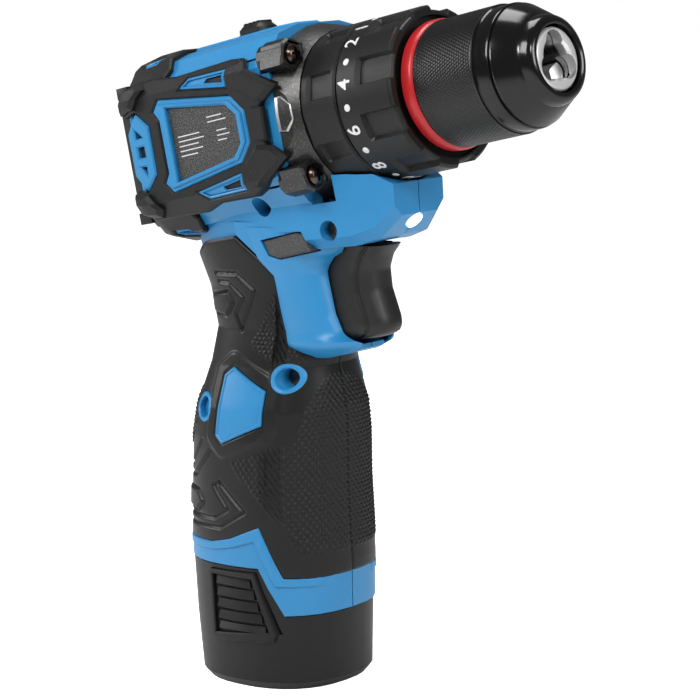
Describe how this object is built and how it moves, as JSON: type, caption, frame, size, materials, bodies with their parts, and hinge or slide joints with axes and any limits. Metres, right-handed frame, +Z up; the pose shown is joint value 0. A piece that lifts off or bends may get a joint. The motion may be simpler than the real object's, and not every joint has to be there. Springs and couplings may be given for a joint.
{
  "type": "cordless drill driver",
  "caption": "Pistol-grip cordless drill driver with keyless chuck, torque and mode rings, trigger, direction and speed switches and a slide-in battery.",
  "frame": {"origin": "centre of the battery's flat underside, on the tool's middle plane", "axes": "+Z up from the bench the battery stands on, +X towards the chuck, +Y to the tool's left"},
  "size_m": [0.1535, 0.051, 0.1979],
  "materials": {
    "blue_shell": "satin",
    "soft_black": "matte",
    "label": "matte",
    "gear_case": "satin",
    "dark_screws": "gloss",
    "steel": "satin",
    "copper": "satin",
    "black_plastic": "satin",
    "red_collar": "satin",
    "chuck_black": "gloss",
    "lens": "gloss",
    "board": "satin",
    "cell_wrap": "satin"
  },
  "bodies": {
    "housing": {"housing_right": "blue_shell", "housing_left": "blue_shell", "rear_bumper": "soft_black", "side_guard_right": "soft_black", "side_guard_left": "soft_black", "grip_rubber_right": "soft_black", "grip_rubber_left": "soft_black", "rating_plate_right": "label", "rating_plate_left": "label", "gear_housing": "gear_case", "gearbox_screw_1": "dark_screws", "gearbox_screw_2": "dark_screws", "gearbox_screw_3": "dark_screws", "gearbox_screw_4": "dark_screws", "ring_gear_1": "steel", "ring_gear_2": "steel", "motor_stator": "copper", "rear_bearing": "steel", "spindle_bearing": "steel", "clutch_spring": "steel", "switch_body": "black_plastic", "trigger_spring": "steel", "work_light": "lens", "control_board": "board", "contact_block": "copper", "shell_screw_1": "dark_screws", "shell_screw_2": "dark_screws", "shell_screw_3": "dark_screws"},
    "spindle": {"spindle": "steel", "chuck_body": "steel", "nose_ring": "steel", "red_collar": "red_collar", "chuck_screw": "dark_screws"},
    "carrier": {"carrier_1": "steel"},
    "rotor": {"rotor": "steel", "motor_pinion": "steel", "cooling_fan": "black_plastic"},
    "planet_1_1": {"planet_1_1": "steel"},
    "planet_1_2": {"planet_1_2": "steel"},
    "planet_1_3": {"planet_1_3": "steel"},
    "planet_2_1": {"planet_2_1": "steel"},
    "planet_2_2": {"planet_2_2": "steel"},
    "planet_2_3": {"planet_2_3": "steel"},
    "sleeve": {"chuck_sleeve": "chuck_black", "chuck_nut": "steel"},
    "jaw_1": {"jaw_1": "steel"},
    "jaw_2": {"jaw_2": "steel"},
    "jaw_3": {"jaw_3": "steel"},
    "torque_ring": {"torque_ring": "black_plastic"},
    "mode_ring": {"mode_ring": "black_plastic"},
    "trigger": {"trigger": "black_plastic"},
    "direction_selector": {"direction_selector": "black_plastic"},
    "speed_selector": {"speed_selector": "black_plastic"},
    "battery": {"battery_case": "black_plastic", "battery_cap": "black_plastic", "battery_cell_1": "cell_wrap", "battery_cell_2": "cell_wrap", "battery_cell_3": "cell_wrap"},
    "latch_right": {"battery_latch_right": "black_plastic"},
    "latch_left": {"battery_latch_left": "black_plastic"}
  },
  "joints": [
    {"name": "spindle_spin", "type": "hinge", "parent": "housing", "child": "spindle", "pos_m": [0.0742, 0, 0.1751], "axis": [0.9848, 0, 0.1736], "continuous": true},
    {"name": "carrier_spin", "type": "hinge", "parent": "housing", "child": "carrier", "pos_m": [0.0742, 0, 0.1751], "axis": [0.9848, 0, 0.1736], "continuous": true},
    {"name": "rotor_spin", "type": "hinge", "parent": "housing", "child": "rotor", "pos_m": [0.0742, 0, 0.1751], "axis": [0.9848, 0, 0.1736], "continuous": true},
    {"name": "planet_1_1_spin", "type": "hinge", "parent": "carrier", "child": "planet_1_1", "pos_m": [0.0222, 0.00945, 0.16593], "axis": [0.9848, 0, 0.1736], "continuous": true},
    {"name": "planet_1_2_spin", "type": "hinge", "parent": "carrier", "child": "planet_1_2", "pos_m": [0.02078, -0.00473, 0.17399], "axis": [0.9848, 0, 0.1736], "continuous": true},
    {"name": "planet_1_3_spin", "type": "hinge", "parent": "carrier", "child": "planet_1_3", "pos_m": [0.02362, -0.00473, 0.15787], "axis": [0.9848, 0, 0.1736], "continuous": true},
    {"name": "planet_2_1_spin", "type": "hinge", "parent": "spindle", "child": "planet_2_1", "pos_m": [0.03185, 0.00975, 0.16763], "axis": [0.9848, 0, 0.1736], "continuous": true},
    {"name": "planet_2_2_spin", "type": "hinge", "parent": "spindle", "child": "planet_2_2", "pos_m": [0.03039, -0.00487, 0.17595], "axis": [0.9848, 0, 0.1736], "continuous": true},
    {"name": "planet_2_3_spin", "type": "hinge", "parent": "spindle", "child": "planet_2_3", "pos_m": [0.03332, -0.00487, 0.15932], "axis": [0.9848, 0, 0.1736], "continuous": true},
    {"name": "sleeve_turn", "type": "hinge", "parent": "spindle", "child": "sleeve", "pos_m": [0.0939, 0, 0.17857], "axis": [0.9848, 0, 0.1736], "range_deg": [-530, 4355]},
    {"name": "jaw_1_slide", "type": "slide", "parent": "spindle", "child": "jaw_1", "axis": [0.9976, 0, -0.0698], "range_m": [-0.00209, 0.01697]},
    {"name": "jaw_2_slide", "type": "slide", "parent": "spindle", "child": "jaw_2", "axis": [0.9346, 0.2095, 0.2876], "range_m": [-0.00209, 0.01697]},
    {"name": "jaw_3_slide", "type": "slide", "parent": "spindle", "child": "jaw_3", "axis": [0.9346, -0.2095, 0.2876], "range_m": [-0.00209, 0.01697]},
    {"name": "torque_ring_turn", "type": "hinge", "parent": "housing", "child": "torque_ring", "pos_m": [0.06435, 0, 0.17336], "axis": [0.9848, 0, 0.1736], "range_deg": [-65, 278]},
    {"name": "mode_ring_turn", "type": "hinge", "parent": "housing", "child": "mode_ring", "pos_m": [0.04761, 0, 0.17041], "axis": [0.9848, 0, 0.1736], "range_deg": [-30, 30]},
    {"name": "trigger_pull", "type": "slide", "parent": "housing", "child": "trigger", "axis": [-1, 0, 0], "range_m": [0, 0.006], "stiffness_N_per_m": 900, "springref_m": -0.002, "deforming": ["trigger_spring"]},
    {"name": "direction_slide", "type": "slide", "parent": "housing", "child": "direction_selector", "axis": [0, 1, 0], "range_m": [-0.0025, 0.0025]},
    {"name": "speed_slide", "type": "slide", "parent": "housing", "child": "speed_selector", "axis": [0.9848, 0, 0.1736], "range_m": [0, 0.0055]},
    {"name": "battery_slide", "type": "slide", "parent": "housing", "child": "battery", "axis": [0, 0, -1], "range_m": [0, 0.065]},
    {"name": "latch_right_press", "type": "slide", "parent": "battery", "child": "latch_right", "axis": [0, 1, 0], "range_m": [0, 0.0015], "stiffness_N_per_m": 1500, "springref_m": -0.001},
    {"name": "latch_left_press", "type": "slide", "parent": "battery", "child": "latch_left", "axis": [0, -1, 0], "range_m": [0, 0.0015], "stiffness_N_per_m": 1500, "springref_m": -0.001}
  ],
  "couplings": [
    {"joint": "carrier_spin", "follows": "spindle_spin", "ratio": 4},
    {"joint": "rotor_spin", "follows": "spindle_spin", "ratio": 18},
    {"joint": "planet_1_1_spin", "follows": "spindle_spin", "ratio": -11.2},
    {"joint": "planet_1_2_spin", "follows": "spindle_spin", "ratio": -11.2},
    {"joint": "planet_1_3_spin", "follows": "spindle_spin", "ratio": -11.2},
    {"joint": "planet_2_1_spin", "follows": "spindle_spin", "ratio": -3},
    {"joint": "planet_2_2_spin", "follows": "spindle_spin", "ratio": -3},
    {"joint": "planet_2_3_spin", "follows": "spindle_spin", "ratio": -3},
    {"joint": "jaw_1_slide", "follows": "sleeve_turn", "m_per_rad": 0.00022282},
    {"joint": "jaw_2_slide", "follows": "sleeve_turn", "m_per_rad": 0.00022282},
    {"joint": "jaw_3_slide", "follows": "sleeve_turn", "m_per_rad": 0.00022282}
  ]
}
